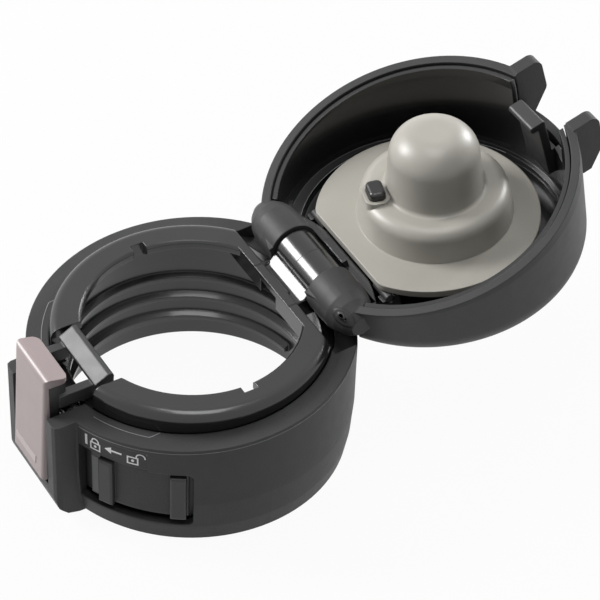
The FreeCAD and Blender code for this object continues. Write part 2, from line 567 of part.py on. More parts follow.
def make_ring():
    profile = turned("ring_profile", [
        ("ring_mouth_radius", "ring_flange_base"),
        ("collar_hollow_radius - seat_gap", "ring_flange_base"), ("collar_hollow_radius - seat_gap", "ring_flange_top"),
        ("ring_radius", "ring_flange_top"), ("ring_radius", "ring_top"),
        ("lip_radius + lip_bevel", "ring_top"), ("lip_radius", "ring_top - lip_bevel"),
        ("lip_radius", "ring_top - lip_wall"), ("ring_root_radius", "ring_top - lip_wall - lip_cone"),
        ("ring_root_radius", "ring_mouth_height + mouth_cone"), ("ring_mouth_radius", "ring_mouth_height")])
    solid = rounded("ring_solid", profile, SIZE["ring_shoulder"],
                    lambda edge: edge.BoundBox.ZMin > SIZE["ring_top"] - 0.1
                    and edge.BoundBox.XMax > SIZE["ring_radius"] - 0.1)
    chord = block("ring_chord_block", ("-lip_radius", "lip_chord", "ring_top - lip_wall - lip_cone"),
                  ("lip_radius", "ring_root_radius", "ring_top"))
    fill = common("ring_chord", chord, disc("ring_chord_disc", "ring_root_radius + chord_lap", "0", "ring_top"))
    scoop = rod("ring_scoop", "relief_radius", "-relief_half", "relief_half", "hinge_y", "hinge_z")
    gap = block("ring_gap", ("-gap_shelf_half", "-ring_radius - cut_over", "gap_floor"),
                ("gap_shelf_half", "-gap_back", "ring_top + over"))
    shelf = block("ring_gap_shelf", ("-gap_half", "-ring_radius - cut_over", "ring_top - gap_shelf"),
                  ("gap_half", "-gap_back", "ring_top + over"))
    notches = block("ring_notches", ("-lip_radius - notch_depth", "-notch_width / 2", "ring_top - lip_wall - lip_cone"),
                    ("lip_radius + notch_depth", "notch_width / 2", "ring_top + over"))
    body = cut("ring_body", fuse("ring_mass", solid, fill), scoop, gap, shelf, notches)
    inside = "sqrt(ring_radius ^ 2 - barrel_half ^ 2)"
    web = slab("ring_web", [
        ("lip_chord", "ring_top - lip_wall - lip_cone"), ("lip_chord", "ring_top - web_drop"),
        ("lip_chord + web_run", "ring_top - web_drop / 2"), ("hinge_y - barrel_radius + web_lap", "hinge_z + web_rise"),
        ("hinge_y", "hinge_z"), ("hinge_y + barrel_radius * 0.6", "hinge_z - barrel_radius * 0.8"),
        (inside, "hinge_z - relief_radius + web_rise"), (inside, "hinge_z - relief_radius - over"),
        ("ring_root_radius + thread_sink", "hinge_z - relief_radius - over"),
        ("ring_root_radius + thread_sink", "ring_top - lip_wall - lip_cone")],
        "barrel_half")
    barrel = rod("ring_barrel", "barrel_radius", "-barrel_half", "barrel_half", "hinge_y", "hinge_z")
    pocket = block("ring_pocket", ("-pocket_left", "lip_chord - over", "ring_top - lip_wall - lip_cone - over"),
                   ("pocket_right", "lip_chord + pocket_wide", "ring_top - pocket_drop"))
    bore = rod("ring_pin_bore", "hinge_pin_radius + run_gap", "-barrel_half - over", "barrel_half + over",
               "hinge_y", "hinge_z")
    chamber = rod("ring_chamber", "spring_bore_radius", "-spring_bore_half", "spring_bore_half", "hinge_y", "hinge_z")
    plain = cut("ring_plain", fuse("ring_whole", body, web, barrel), bore, chamber, pocket)
    ring = fuse("ring", plain, neck_thread())
    ring.Refine = False
    keep("threaded_ring", ring)


def neck_thread():
    """The ridge of the neck thread, a trapezoid wound on a helix and sunk a little into the ring's wall."""
    root = SIZE["ring_root_radius"] + SIZE["thread_sink"]
    crest = SIZE["ring_crest_radius"]
    path = Part.makeHelix(SIZE["thread_pitch"], SIZE["thread_rise"], root)
    wide, narrow = SIZE["thread_base"] / 2, SIZE["thread_crest"] / 2
    section = Part.makePolygon([FreeCAD.Vector(root, 0, -wide), FreeCAD.Vector(crest, 0, -narrow),
                                FreeCAD.Vector(crest, 0, narrow), FreeCAD.Vector(root, 0, wide),
                                FreeCAD.Vector(root, 0, -wide)])
    ridge = doc.addObject("Part::Feature", "thread_ridge")
    ridge.Shape = Part.Wire(path.Edges).makePipeShell([section], True, True)
    ridge.Placement = FreeCAD.Placement(FreeCAD.Vector(0, 0, SIZE["thread_low"]),
                                        FreeCAD.Rotation(FreeCAD.Vector(0, 0, 1), SIZE["thread_angle"]))
    return ridge


def make_hinge():
    pin = rod("pin", "hinge_pin_radius", "-hinge_pin_half", "hinge_pin_half", "hinge_y", "hinge_z")
    keep("hinge_pin", pin)
    mean = (SIZE["hinge_pin_radius"] + SIZE["spring_bore_radius"]) / 2
    length = 2 * (SIZE["spring_bore_half"] - SIZE["spring_coil_wire"] - SIZE["spring_end_gap"])
    spring = coil("spring", mean, SIZE["spring_coil_wire"], length, SIZE["spring_turns"])
    spring.Placement = FreeCAD.Placement(
        FreeCAD.Vector(-length / 2, SIZE["hinge_y"], SIZE["hinge_z"]),
        FreeCAD.Rotation(FreeCAD.Vector(0, 1, 0), 90))
    keep("hinge_spring", spring)


def coil(name, mean, wire, length, turns):
    """A round wire wound on a helix along Z."""
    path = Part.makeHelix(length / turns, length, mean)
    start = path.Edges[0].valueAt(path.Edges[0].FirstParameter)
    along = path.Edges[0].tangentAt(path.Edges[0].FirstParameter)
    section = Part.Wire([Part.makeCircle(wire, start, along)])
    solid = Part.Wire(path.Edges).makePipeShell([section], True, True)
    thing = doc.addObject("Part::Feature", name)
    thing.Shape = solid
    return thing


def open_collar(thing):
    """Turns a stand-in for the collar about the hinge, to where it lies for the open lid."""
    thing.Placement = FreeCAD.Placement(FreeCAD.Vector(), FreeCAD.Rotation(FreeCAD.Vector(1, 0, 0), 90))
    bind(thing, "Placement.Rotation.Angle", "open_angle")
    bind(thing, "Placement.Base.y", "hinge_y - hinge_y * cos(open_angle) + hinge_z * sin(open_angle)")
    bind(thing, "Placement.Base.z", "hinge_z - hinge_y * sin(open_angle) - hinge_z * cos(open_angle)")


SIZE_INSET = {
    "0": 0.0,
    "lid_wall": SIZE["lid_wall"],
    "lid_wall + liner_gap": SIZE["lid_wall"] + SIZE["liner_gap"],
}


def lid_form(name, inset, rim):
    """The lid's outer form, or the same form set in by a wall, open side down."""
    side = turned(name + "_side", [
        ("0", "part_height - cut_over"), ("collar_radius - (%s)" % inset, "part_height - cut_over"),
        ("collar_radius - (%s)" % inset, "part_height + lid_foot"),
        ("2 * lid_top_radius - collar_radius - (%s)" % inset, "2 * lid_top - part_height - lid_foot"),
        ("0", "2 * lid_top - part_height - lid_foot")])
    top = above(name + "_top", "lid_top - (%s)" % inset, "-lid_slope")
    capped = cut(name + "_capped", side, top)
    cylinder = turned(name + "_behind", [
        ("0", "-2 * cut_over"), ("collar_radius + collar_clearance + (%s)" % inset, "-2 * cut_over"),
        ("collar_radius + collar_clearance + (%s)" % inset, "part_height + saddle_rise + (%s)" % inset),
        ("0", "part_height + saddle_rise + (%s)" % inset)])
    open_collar(cylinder)
    clear = rounded(name + "_clear", cut(name + "_trimmed", capped, cylinder),
                    SIZE["lid_round"] - SIZE_INSET[inset],
                    lambda edge: edge.BoundBox.ZMax > SIZE["lid_top"]
                    and edge.BoundBox.XLength > 1.2 * SIZE["collar_radius"])
    if not rim:
        return clear
    under = slab(name + "_rim", [
        ("-%s" % BIG, "-%s" % BIG), ("%s" % BIG, "-%s" % BIG),
        ("%s" % BIG, "part_height + %s + %s * tan(part_angle)" % (rim, BIG)),
        ("-%s" % BIG, "part_height + %s - %s * tan(part_angle)" % (rim, BIG))], str(BIG))
    return cut(name + "_form", clear, under)


def make_lid_shell():
    outer = lid_form("lid_outer", "0", "part_gap")
    inner = lid_form("lid_inner", "lid_wall", "")
    ears = []
    for side, start, end in (("left", "-ear_outer", "-ear_inner"), ("right", "ear_inner", "ear_outer")):
        rim_front = "part_height + part_gap - ear_front * tan(part_angle)"
        ear = span("ear_" + side, [
            ("-collar_radius + ear_root", rim_front), ("-ear_front", rim_front), ("-ear_front", "ear_high"),
            ("-collar_radius + ear_tuck", "ear_top"), ("-collar_radius + ear_root", "ear_top")], start, end)
        ears.append(rounded("ear_round_" + side, ear, SIZE["ear_round"],
                            lambda edge: edge.BoundBox.XLength > 1
                            and edge.BoundBox.YMax < -SIZE["collar_radius"] - SIZE["over"]))
    knuckles = [knuckle("knuckle_left", -90, "0"), knuckle("knuckle_right", 90, "0")]
    shell = cut("lid_wall_shell", outer, inner)
    slot = block("lid_slot", ("-barrel_half - knuckle_gap", "hinge_y - barrel_radius - slot_gap", "part_height - cut_over"),
                 ("barrel_half + knuckle_gap", "hinge_y + 2 * cut_over", "hinge_z + barrel_radius + slot_gap"))
    notch = block("lid_notch", ("-hood_notch_half", "-collar_radius - cut_over", "part_height - cut_over"),
                  ("hood_notch_half", "-notch_back", "hood_notch_top"))
    bore = rod("lid_pin_bore", "hinge_pin_radius + run_gap", "-hinge_pin_half - run_gap", "hinge_pin_half + run_gap",
               "hinge_y", "hinge_z")
    whole = fuse("lid_whole", shell, *knuckles, *ears)
    keep("lid_shell", put(cut("lid", whole, slot, notch, bore)))


def knuckle(name, turn, grow):
    """A knuckle about the hinge axis that narrows outwards to meet the lid's wall, larger by grow all round."""
    start = "barrel_half + knuckle_gap - (%s)" % grow
    body = turned(name, [
        ("0", start), ("knuckle_radius + (%s)" % grow, start),
        ("knuckle_radius + (%s)" % grow, "barrel_half + knuckle_gap + knuckle_flat"),
        ("0.97 * knuckle_radius + (%s)" % grow, "0.35 * knuckle_end + 0.65 * (barrel_half + knuckle_gap + knuckle_flat)"),
        ("0.86 * knuckle_radius + (%s)" % grow, "0.6 * knuckle_end + 0.4 * (barrel_half + knuckle_gap + knuckle_flat)"),
        ("0.66 * knuckle_radius + (%s)" % grow, "0.83 * knuckle_end + 0.17 * (barrel_half + knuckle_gap + knuckle_flat)"),
        ("0.42 * knuckle_radius + (%s)" % grow, "knuckle_end + (%s)" % grow), ("0", "knuckle_end + (%s)" % grow)])
    body.Placement = FreeCAD.Placement(FreeCAD.Vector(), FreeCAD.Rotation(FreeCAD.Vector(0, 1, 0), turn))
    bind(body, "Placement.Base.y", "hinge_y")
    bind(body, "Placement.Base.z", "hinge_z")
    return body


def make_liner():
    outer = lid_form("liner_outer", "lid_wall + liner_gap", "part_gap + liner_drop")
    wall = turned("liner_void_side", [
        ("0", "part_height - 2 * cut_over"),
        ("collar_radius - lid_wall - liner_gap - liner_wall", "part_height - 2 * cut_over"),
        ("collar_radius - lid_wall - liner_gap - liner_wall", "part_height + lid_foot"),
        ("lid_top_radius - lid_wall - liner_gap - liner_wall - liner_taper", "lid_top"),
        ("lid_top_radius - lid_wall - liner_gap - liner_wall - 2 * liner_taper", "lid_top + cut_over"),
        ("0", "lid_top + cut_over")])
    ledge = above("liner_ledge", "floor_height - floor_step", "-floor_slope")
    deep = cut("liner_deep", disc("liner_deep_disc", "floor_radius", "part_height", "lid_top + cut_over"),
               above("liner_floor", "floor_height", "-floor_slope"))
    void = fuse("liner_void", cut("liner_void_wall", wall, ledge), deep)
    behind = turned("liner_behind", [
        ("0", "-2 * cut_over"), ("collar_radius + collar_clearance + lid_wall + liner_gap + liner_wall", "-2 * cut_over"),
        ("collar_radius + collar_clearance + lid_wall + liner_gap + liner_wall",
         "part_height + saddle_rise + lid_wall + liner_gap + liner_wall"),
        ("0", "part_height + saddle_rise + lid_wall + liner_gap + liner_wall")])
    open_collar(behind)
    cup = cut("liner_cup", outer, cut("liner_space", void, behind))
    slot = block("liner_slot", ("-stud_half", "hinge_y - knuckle_radius - slot_gap", "part_height - cut_over"),
                 ("stud_half", "hinge_y + 2 * cut_over", "hinge_z + knuckle_radius + slot_gap_high"))
    sides = [knuckle("liner_knuckle_left", -90, "liner_gap"), knuckle("liner_knuckle_right", 90, "liner_gap")]
    notch = block("liner_notch", ("-hood_notch_half", "-collar_radius - cut_over", "part_height - cut_over"),
                  ("hood_notch_half", "-notch_back", "hood_notch_top"))
    hook_window = block("liner_hook_window", ("-hook_half - seat_gap", "-collar_radius", "part_height - cut_over"),
                        ("hook_half + seat_gap", "-hook_front - seat_gap", "hook_root + seat_gap"))
    boss_disc = disc("liner_boss_disc", "dome_side_radius", "part_height", "lid_top + cut_over")
    boss_low = above("liner_boss_low", "flange_height + flange_wall + core_plate + seat_gap", "-plug_tilt")
    boss = cut("liner_boss", common("liner_boss_top", boss_disc, boss_low),
               above("liner_boss_high", "floor_height + boss_lap", "-floor_slope"))
    tab = block("liner_tab", ("-tab_half - tab_shift", "hinge_y - knuckle_radius - tab_gap - tab_wall", "hinge_z"),
                ("tab_half - tab_shift", "hinge_y - knuckle_radius - tab_gap", "hinge_z + tab_height"))
    keep("lid_liner", put(fuse("liner", cut("liner_open", cup, slot, *sides, notch, hook_window), boss, tab)))


def make_hook():
    post = slab("hook_post", [
        ("-hook_back", "hook_low"), ("-hook_nose", "hook_low"), ("-hook_nose", "hook_high"),
        ("-hook_front", "hook_high"), ("-hook_front", "hook_root"), ("-hook_back", "hook_root")],
        "hook_half")
    nose = rounded("hook_nose", post, SIZE["hook_round"],
                   lambda edge: edge.BoundBox.XLength > 2 and edge.BoundBox.ZMax < SIZE["hook_high"] + 0.1
                   and (edge.BoundBox.YMin > -SIZE["hook_front"] + 0.1 or edge.BoundBox.YMax < -SIZE["hook_back"] + 0.1))
    foot = block("hook_foot", ("-hook_half", "-hook_back - hook_foot", "hood_notch_top + foot_gap"),
                 ("hook_half", "-hook_front", "hook_root"))
    keep("latch_hook", put(fuse("hook", nose, foot)))


def make_latch():
    keep("latch_pin", rod("lever_pin", "latch_pin_radius", "-latch_pin_half", "latch_pin_half", "-latch_y", "latch_z"))
    plate = slab("lever_plate", [
        ("-lever_front", "latch_z + plate_rise"), ("-lever_front", "lever_top"), ("-hood_back - hood_gap", "lever_top"),
        ("-hood_back - hood_gap", "lever_top - hood_depth"),
        ("-lever_back", "lever_top - hood_depth - hood_slope"), ("-lever_back", "latch_z + plate_rise")],
        "lever_half")
    shank = slab("lever_shank", [
        ("-lever_front", "latch_z"), ("-lever_front", "latch_z + shank_rise"), ("-lever_back", "latch_z + shank_rise"),
        ("-lever_back", "latch_z + shank_rise / 2"), ("-latch_y", "latch_z + shank_foot")], "latch_foot_half")
    foot = rod("lever_foot", "latch_foot_radius", "-latch_foot_half", "latch_foot_half", "-latch_y", "latch_z")
    arms = []
    for side, start, end in (("left", "-arm_outer", "-arm_inner"), ("right", "arm_inner", "arm_outer")):
        arms.append(span("arm_" + side, [
            ("-lever_back - arm_lap", "arm_low"), ("-bar_outer + over", "arm_low"), ("-bar_outer + over", "arm_high"),
            ("-lever_back - arm_lap", "arm_high")], start, end))
    bar = slab("crossbar", [
        ("-bar_outer", "bar_edge - bar_lip"), ("-bar_inner - bar_web", "bar_edge - bar_lip"),
        ("-bar_inner - bar_web", "bar_low"), ("-bar_inner - bar_bevel / 2", "bar_low"),
        ("-bar_inner", "bar_high - bar_bevel"), ("-bar_inner - bar_ridge", "bar_high"),
        ("-bar_inner - bar_ridge - bar_ridge_width", "bar_high"), ("-bar_outer", "bar_edge")], "bar_half")
    bore = rod("lever_bore", "latch_pin_radius + run_gap", "-lever_half - over", "lever_half + over",
               "-latch_y", "latch_z")
    keep("latch_lever", cut("lever", fuse("lever_mass", plate, shank, foot, *arms, bar), bore))
    cover = slab("cover_mass", [
        ("-button_front_low", "button_low"), ("-button_front_high", "button_high"),
        ("-hood_back", "button_high - hood_wall"), ("-hood_back", "lever_top + seat_gap"),
        ("-lever_front - seat_gap", "lever_top + seat_gap"), ("-lever_front - seat_gap", "button_low + button_bevel")],
        "button_half")
    top_edge = -SIZE["button_front_high"] + 0.1

    def cover_radius(edge):
        box = edge.BoundBox
        across = box.XLength > 2 * SIZE["button_half"] - 0.1
        if across and box.ZMin > SIZE["button_high"] - 0.1 and box.YMax < top_edge:
            return SIZE["button_round"]
        if box.ZLength > SIZE["button_high"] / 2 and box.YMin < -SIZE["button_front_low"] + 0.1:
            return SIZE["button_round"]
        if box.XLength < 0.1 and box.YMin > -SIZE["hood_back"] - 0.1:
            return SIZE["hood_round"]
        return None

    keep("button_cover", rounded_by("cover", cover, cover_radius))
    length = SIZE["lever_back"] - SIZE["ring_radius"] - 2 * SIZE["spring_wire"] - SIZE["spring_slack"]
    spring = coil("lever_spring", SIZE["spring_radius"], SIZE["spring_wire"] / 2, length, SIZE["latch_spring_turns"])
    spring.Placement = FreeCAD.Placement(
        FreeCAD.Vector(0, -SIZE["ring_radius"] - SIZE["spring_gap"], SIZE["spring_seat_z"]),
        FreeCAD.Rotation(FreeCAD.Vector(1, 0, 0), 90))
    keep("latch_spring", spring)


def make_slider():
    guide = wedge("slider_guide", "guide_inner", "guide_outer", "slider_low - guide_drop", "slider_high + guide_rise",
                  "slider_start + slider_margin", "slider_end - slider_margin")
    grip = wedge("slider_grip", "guide_inner + grip_lap", "grip_radius", "slider_low", "slider_high",
                 "slider_start", "slider_end")
    ribs = [rounded("slider_rib_" + mark, wedge("slider_rib_raw_" + mark, "guide_outer", "grip_rib_radius",
                                                "slider_low", "slider_high - rib_drop", start, "%s - rib_span" % start),
                    SIZE["slider_round"],
                    lambda edge: math.hypot(edge.CenterOfMass.x, edge.CenterOfMass.y) > SIZE["grip_rib_radius"] - 0.1)
            for mark, start in (("a", "rib_start_a"), ("b", "rib_start_b"))]
    keep("lock_slider", fuse("slider", guide, grip, *ribs))


def plug_profile(inset):
    """Corners of the plug's stepped dome, set in by a wall, open at the flange."""
    return [
        ("dome_base_radius - (%s)" % inset, "0"), ("dome_side_radius - (%s)" % inset, "-dome_height + (%s)" % inset),
        ("cap_base_radius - (%s)" % inset, "-dome_height + (%s)" % inset),
        ("cap_radius - (%s)" % inset, "-plug_height + (%s)" % inset), ("0", "-plug_height + (%s)" % inset)]


def domed(name, body, inset):
    """Sets a body with the plug's profile off from the flange's axis, and rounds its crown, shoulder and foot."""
    bind(body, "Placement.Base.y", "-dome_offset")

    def radius_of(edge):
        box = edge.BoundBox
        if box.ZLength > 0.1:
            return None
        wide = box.XLength / 2
        if abs(box.ZMin + SIZE["plug_height"] - inset) < 0.1 and abs(wide - SIZE["cap_radius"] + inset) < 0.1:
            return SIZE["cap_round"] - inset
        if abs(box.ZMin + SIZE["dome_height"] - inset) < 0.1:
            if abs(wide - SIZE["dome_side_radius"] + inset) < 0.1:
                return SIZE["dome_round"] - inset
            if abs(wide - SIZE["cap_base_radius"] + inset) < 0.1:
                return SIZE["cap_foot_round"] + inset / 4
        return None

    return rounded_by(name, body, radius_of)


def d_plate(name, radius, chord, low, high):
    """A round plate with one straight edge."""
    off = block(name + "_off", ("-%s" % BIG, chord, "-%s" % BIG), ("%s" % BIG, "%s" % BIG, "%s" % BIG))
    return cut(name, disc(name + "_disc", radius, low, high), off)


def make_plug():
    wall = SIZE["seal_wall"]
    inner_wall = wall + SIZE["core_gap"]
    skin = domed("seal_dome", turned("seal_dome_raw", plug_profile("0") + [
        ("0", "flange_wall"), ("dome_base_radius", "flange_wall")]), 0.0)
    void = domed("seal_void", turned("seal_void_raw", plug_profile("seal_wall") + [
        ("0", "flange_wall + cut_over"), ("dome_base_radius - seal_wall", "flange_wall + cut_over")]), wall)
    flange = rounded("seal_flange", d_plate("seal_flange_raw", "flange_radius", "flange_chord", "0", "flange_wall"),
                     SIZE["flange_corner"], lambda edge: edge.BoundBox.ZLength > 1
                     and abs(edge.BoundBox.YMin - SIZE["flange_chord"]) < 0.1)
    lip = vent("vent_lip", "vent_lip", "-dome_height - vent_lip_height", "vent_lip_height + 2 * over")
    vent_hole = vent("vent_hole", "core_gap", "-dome_height - 2 * over", "vent_bore_depth")
    seal = cut("seal", fuse("seal_mass", skin, flange, lip), void, vent_hole)
    keep("plug_seal", put(seal, "0", "flange_height", "-plug_tilt"))
    core_outer = domed("core_dome", turned("core_dome_raw", plug_profile("seal_wall + core_gap") + [
        ("0", "flange_wall + core_plate"), ("dome_base_radius - seal_wall - core_gap", "flange_wall + core_plate")]),
        inner_wall)
    core_void = turned("core_void", plug_profile("seal_wall + core_gap + core_wall + core_void_gap") + [
        ("0", "flange_wall + cut_over"),
        ("dome_base_radius - seal_wall - core_gap - core_wall - core_void_gap", "flange_wall + cut_over")])
    bind(core_void, "Placement.Base.y", "-dome_offset")
    plate = d_plate("core_plate_d", "core_plate_radius", "core_chord", "flange_wall + core_gap",
                    "flange_wall + core_plate")
    arms = stud_arms()
    core_hole = vent("core_hole", "core_gap", "-dome_height - 2 * over", "vent_bore_depth")
    core = cut("core", fuse("core_mass", core_outer, plate, *arms), core_void, core_hole)
    keep("plug_core", put(core, "0", "flange_height", "-plug_tilt"))
    valve = vent("valve", "0", "-dome_height - vent_proud", "vent_proud + seal_wall + vent_sunk")
    keep("vent_plug", put(rounded("vent_valve", valve, SIZE["vent_edge"],
                                  lambda edge: edge.BoundBox.ZMin < -SIZE["dome_height"] - 1
                                  and edge.BoundBox.ZLength < 0.1),
                          "0", "flange_height", "-plug_tilt"))


def stud_arms():
    """Two arms on the plate, in the plug's own frame, and the pivot studs at their ends."""
    drop = "(stud_z - flange_height)"
    out = "(stud_y * cos(plug_tilt) - %s * sin(plug_tilt))" % drop
    up = "(stud_y * sin(plug_tilt) + %s * cos(plug_tilt))" % drop
    made = []
    for side, start, end, tip_start, tip_end in (
            ("left", "-stud_arm_outer", "-stud_arm_inner", "-stud_half", "-stud_arm_inner"),
            ("right", "stud_arm_inner", "stud_arm_outer", "stud_arm_inner", "stud_half")):
        made.append(span("stud_arm_" + side, [
            ("core_chord - 2 * over", "flange_wall + core_gap"), (out + " + stud_web", "flange_wall + core_gap"),
            (out + " + stud_web", up), (out, up + " + stud_radius"), ("core_chord - 2 * over", "flange_wall + core_plate")],
            start, end))
        made.append(rod("stud_" + side, "stud_radius", tip_start, tip_end, out, up))
    return made


def vent(name, grow, low, depth):
    """The vent's rounded block on the plug's shoulder, in the plug's own frame."""
    box = doc.addObject("Part::Box", name + "_box")
    box.Placement = FreeCAD.Placement(FreeCAD.Vector(), FreeCAD.Rotation(FreeCAD.Vector(0, 0, 1), 90))
    bind(box, "Length", "vent_wide + 2 * (%s)" % grow)
    bind(box, "Width", "vent_long + 2 * (%s)" % grow)
    bind(box, "Height", depth)
    bind(box, "Placement.Rotation.Angle", "vent_angle")
    across = "(vent_long / 2 + (%s))" % grow
    start = "(vent_reach - vent_wide / 2 - (%s))" % grow
    bind(box, "Placement.Base.x", "%s * cos(vent_angle) + %s * sin(vent_angle)" % (start, across))
    bind(box, "Placement.Base.y", "%s * sin(vent_angle) - %s * cos(vent_angle) - dome_offset" % (start, across))
    bind(box, "Placement.Base.z", low)
    return rounded(name, box, SIZE["vent_round"] + SIZE.get(grow, 0.0), lambda edge: edge.BoundBox.ZLength > 1)


def make_clip():
    bore = rod("clip_bore", "stud_radius + run_gap", "-stud_half - over", "stud_half + over", "stud_y", "stud_z")
    reach = "(stud_radius + clip_wall)"
    top = "(floor_height - stud_y * tan(floor_slope) - clip_play)"
    ears = [span("clip_ear_" + side, [
        ("stud_y - " + reach, "stud_z - stud_radius / 2"), ("stud_y + %s * 0.8" % reach, "stud_z - stud_radius / 2"),
        ("stud_y + %s * 0.8" % reach, "stud_z + " + reach), ("stud_y", top), ("stud_y - " + reach, top)], start, end)
        for side, start, end in (("left", "-stud_half - clip_lap", "-stud_arm_outer - clip_gap"),
                                 ("right", "stud_arm_outer + clip_gap", "stud_half + clip_lap"))]
    bar = block("clip_bar", ("-stud_half", "stud_y - " + reach, top + " - clip_wall"), ("stud_half", "stud_y", top))
    keep("plug_clip", put(cut("clip", fuse("clip_mass", bar, *ears), bore)))


def write_parts():
    doc.recompute()
    for thing in doc.Objects:
        if "Invalid" in thing.State or "Error" in thing.State:
            raise RuntimeError("%s failed: %s" % (thing.Name, thing.State))
    for node, thing in parts.items():
        shape = thing.Shape
        if shape.isNull() or not shape.isValid():
            raise RuntimeError("%s has no valid shape" % node)
        print("%-16s solids %d  volume %.1f mm3" % (node, len(shape.Solids), shape.Volume))
    os.makedirs("parts", exist_ok=True)
    for node, thing in parts.items():
        thing.Shape.exportStep("parts/%s.step" % node)


make_collar()
make_ring()
make_hinge()
make_lid_shell()
make_liner()
make_hook()
make_latch()
make_slider()
make_plug()
make_clip()
write_parts()
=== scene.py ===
import math

import bpy
from mathutils import Matrix, Vector


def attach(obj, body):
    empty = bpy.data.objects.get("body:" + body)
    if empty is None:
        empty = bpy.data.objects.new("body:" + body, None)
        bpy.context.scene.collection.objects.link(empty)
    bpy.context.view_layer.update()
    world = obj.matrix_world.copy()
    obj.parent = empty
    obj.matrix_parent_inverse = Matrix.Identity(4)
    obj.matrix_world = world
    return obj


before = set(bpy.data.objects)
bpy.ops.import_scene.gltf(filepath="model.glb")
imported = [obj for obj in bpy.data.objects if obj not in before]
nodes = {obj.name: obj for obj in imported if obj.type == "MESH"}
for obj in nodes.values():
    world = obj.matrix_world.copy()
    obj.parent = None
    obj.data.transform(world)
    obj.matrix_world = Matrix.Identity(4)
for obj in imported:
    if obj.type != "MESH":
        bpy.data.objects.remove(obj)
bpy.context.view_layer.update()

# The looks of a one-touch flask lid, in metres. Lengths typed below in millimetres are multiplied by MM.
# The collar's axis is Z, the hinge lies at +Y along X, and the latch faces -Y.

MM = 0.001

# Sizes that the pieces here share with the solids.
HINGE = Vector((0.0, 27.2, 31.8))
OPEN_ANGLE = math.radians(162.8)
COLLAR_RADIUS = 33.0
LABEL_RADIUS = 32.65
GRIP_RADIUS = 31.9
BARREL_RADIUS = 4.47
LIP_CHORD = 17.9
RING_TOP = 30.6
PART_HEIGHT = 26.7
PART_ANGLE = math.radians(2.86)
BUTTON_LOW = 7.6
BUTTON_HIGH = 34.5
BUTTON_FRONT_LOW = 36.9
BUTTON_FRONT_HIGH = 35.5

# Takes a point of the shut lid to where it lies in the open one.
LID_OPENED = Matrix.Translation(HINGE) @ Matrix.Rotation(-OPEN_ANGLE, 4, "X") @ Matrix.Translation(-HINGE)


def linear(colour):
    """Red, green and blue from 0 to 255 as a linear colour."""
    made = []
    for part in colour:
        c = part / 255
        made.append(c / 12.92 if c <= 0.04045 else ((c + 0.055) / 1.055) ** 2.4)
    return (*made, 1.0)


# Sizes in mm of the surfaces' variation, and how deep their grain is.
CLOUD_SIZE = 9.0
SMEAR_SIZE = 2.5
GRAIN_DEPTH = 0.06
ROUGH_SPREAD = 0.05


def surface(name, colour, roughness, spread=0.08, grain=0.0, grain_size=0.25, edge=0.0, specular=0.5,
            coat=0.0, sheen=0.0, subsurface=0.0):
    """A moulded surface: a little colour and roughness variation, a fine grain, and edges that catch the light.
    grain is the bump's strength and grain_size its size in mm, and edge is the softened edge's radius in mm."""
    material = bpy.data.materials.new(name)
    material.use_nodes = True
    tree = material.node_tree
    shader = tree.nodes["Principled BSDF"]
    base = linear(colour)
    shader.inputs["Base Color"].default_value = base
    shader.inputs["Roughness"].default_value = roughness
    shader.inputs["Specular IOR Level"].default_value = specular
    shader.inputs["Coat Weight"].default_value = coat
    shader.inputs["Coat Roughness"].default_value = 0.08
    shader.inputs["Sheen Weight"].default_value = sheen
    shader.inputs["Subsurface Weight"].default_value = subsurface
    shader.inputs["Subsurface Radius"].default_value = (2 * MM, 1.6 * MM, 1.2 * MM)
    shader.inputs["Subsurface Scale"].default_value = 1.0
    where = tree.nodes.new("ShaderNodeTexCoord")

    def noise(size, detail):
        made = tree.nodes.new("ShaderNodeTexNoise")
        made.inputs["Scale"].default_value = 1 / (size * MM)
        made.inputs["Detail"].default_value = detail
        tree.links.new(where.outputs["Object"], made.inputs["Vector"])
        return made

    cloud = noise(CLOUD_SIZE, 3.0)
    ramp = tree.nodes.new("ShaderNodeValToRGB")
    ramp.color_ramp.elements[0].position = 0.3
    ramp.color_ramp.elements[1].position = 0.7
    ramp.color_ramp.elements[0].color = tuple(c * (1 - spread) for c in base[:3]) + (1.0,)
    ramp.color_ramp.elements[1].color = tuple(min(1.0, c * (1 + spread)) for c in base[:3]) + (1.0,)
    tree.links.new(cloud.outputs["Fac"], ramp.inputs["Fac"])
    tree.links.new(ramp.outputs["Color"], shader.inputs["Base Color"])
    rough = tree.nodes.new("ShaderNodeMapRange")
    rough.inputs["To Min"].default_value = max(0.02, roughness - ROUGH_SPREAD)
    rough.inputs["To Max"].default_value = min(1.0, roughness + ROUGH_SPREAD)
    tree.links.new(noise(SMEAR_SIZE, 2.0).outputs["Fac"], rough.inputs["Value"])
    tree.links.new(rough.outputs["Result"], shader.inputs["Roughness"])
    soft = None
    if edge:
        soft = tree.nodes.new("ShaderNodeBevel")
        soft.samples = 6
        soft.inputs["Radius"].default_value = edge * MM
    bump = tree.nodes.new("ShaderNodeBump")
    bump.inputs["Strength"].default_value = max(grain, 0.01)
    bump.inputs["Distance"].default_value = GRAIN_DEPTH * MM
    tree.links.new(noise(grain_size, 2.0).outputs["Fac"], bump.inputs["Height"])
    if soft:
        tree.links.new(soft.outputs["Normal"], bump.inputs["Normal"])
    tree.links.new(bump.outputs["Normal"], shader.inputs["Normal"])
    return material


